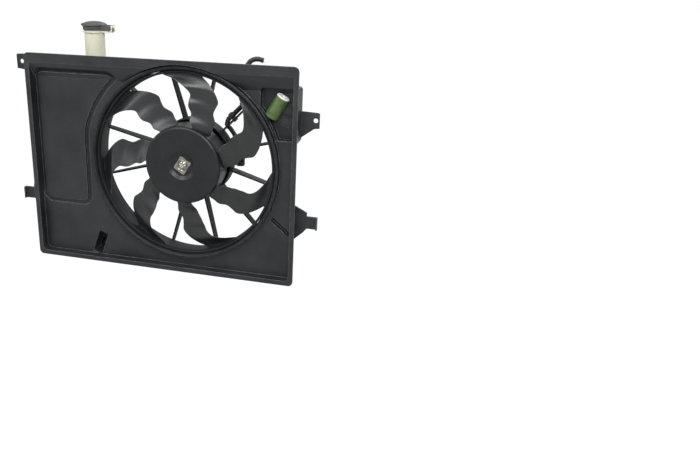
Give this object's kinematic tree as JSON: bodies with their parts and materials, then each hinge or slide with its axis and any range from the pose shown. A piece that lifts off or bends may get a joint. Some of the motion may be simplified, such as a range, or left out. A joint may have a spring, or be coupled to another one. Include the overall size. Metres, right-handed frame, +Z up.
{
  "type": "radiator cooling fan",
  "caption": "Engine cooling fan module: moulded shroud with ring, ring fan on an electric motor, spoked carrier, coolant tank with flip cap, resistor and harness",
  "frame": {"origin": "middle of the bounding box at the bottom edge of the shroud", "axes": "+X across the radiator to the side of the resistor, +Y from the radiator to the engine, +Z up"},
  "size_m": [0.611, 0.094, 0.468],
  "materials": {
    "shroud": "moulded black polypropylene, fine grain",
    "carrier": "moulded grey-black polypropylene, rear side",
    "fan": "glass-filled nylon, satin",
    "insert": "turned steel",
    "clip": "stamped spring steel",
    "can": "drawn steel, black coated",
    "magnet": "sintered ferrite",
    "core": "laminated electrical steel",
    "winding": "enamelled copper",
    "commutator": "copper bars",
    "shaft": "ground steel",
    "bearing": "sintered bronze",
    "brush_plate": "phenolic",
    "carbon": "pressed carbon",
    "screw": "zinc plated",
    "tank": "blow-moulded natural polypropylene",
    "cap": "moulded polypropylene",
    "seal": "moulded rubber",
    "resistor": "green cement coat",
    "resistor_end": "white ceramic",
    "sheet": "zinc plated sheet",
    "connector": "moulded nylon",
    "wire": "white insulation",
    "conduit": "corrugated polyethylene",
    "boot": "moulded rubber"
  },
  "bodies": {
    "shroud": {"shroud_panel": "shroud", "tank_tray": "shroud", "resistor_pocket": "shroud", "hose_tower": "shroud", "side_brackets": "shroud", "venturi_ring": "shroud", "motor_carrier": "carrier", "motor_can": "can", "field_magnets": "magnet", "front_bearing": "bearing", "rear_bearing": "bearing", "brush_plate": "brush_plate", "carbon_brushes": "carbon", "brush_springs": "screw", "motor_screws": "screw", "coolant_tank": "tank", "resistor_body": "resistor", "resistor_ends": "resistor_end", "resistor_bracket": "sheet", "resistor_rivets": "screw", "connector_block": "connector", "harness_plug": "connector", "plug_lock": "connector", "plug_wires": "wire", "conduit": "conduit", "motor_lead_boot": "boot", "cable_clips": "connector", "ring_clip": "connector"},
    "fan": {"fan_hub": "fan", "fan_blades": "fan", "fan_band": "fan", "fan_insert": "insert", "fan_clip": "clip", "motor_shaft": "shaft", "armature_core": "core", "armature_windings": "winding", "commutator": "commutator"},
    "cap": {"tank_cap": "cap", "cap_seal": "seal"}
  },
  "joints": [
    {"name": "fan_spin", "type": "hinge", "parent": "shroud", "child": "fan", "pos_m": [0.047, 0, 0.214], "axis": [0, -1, 0], "continuous": true},
    {"name": "cap_hinge", "type": "hinge", "parent": "shroud", "child": "cap", "pos_m": [-0.1145, 0.0153, 0.453], "axis": [0, 1, 0], "range_deg": [0, 120]}
  ]
}
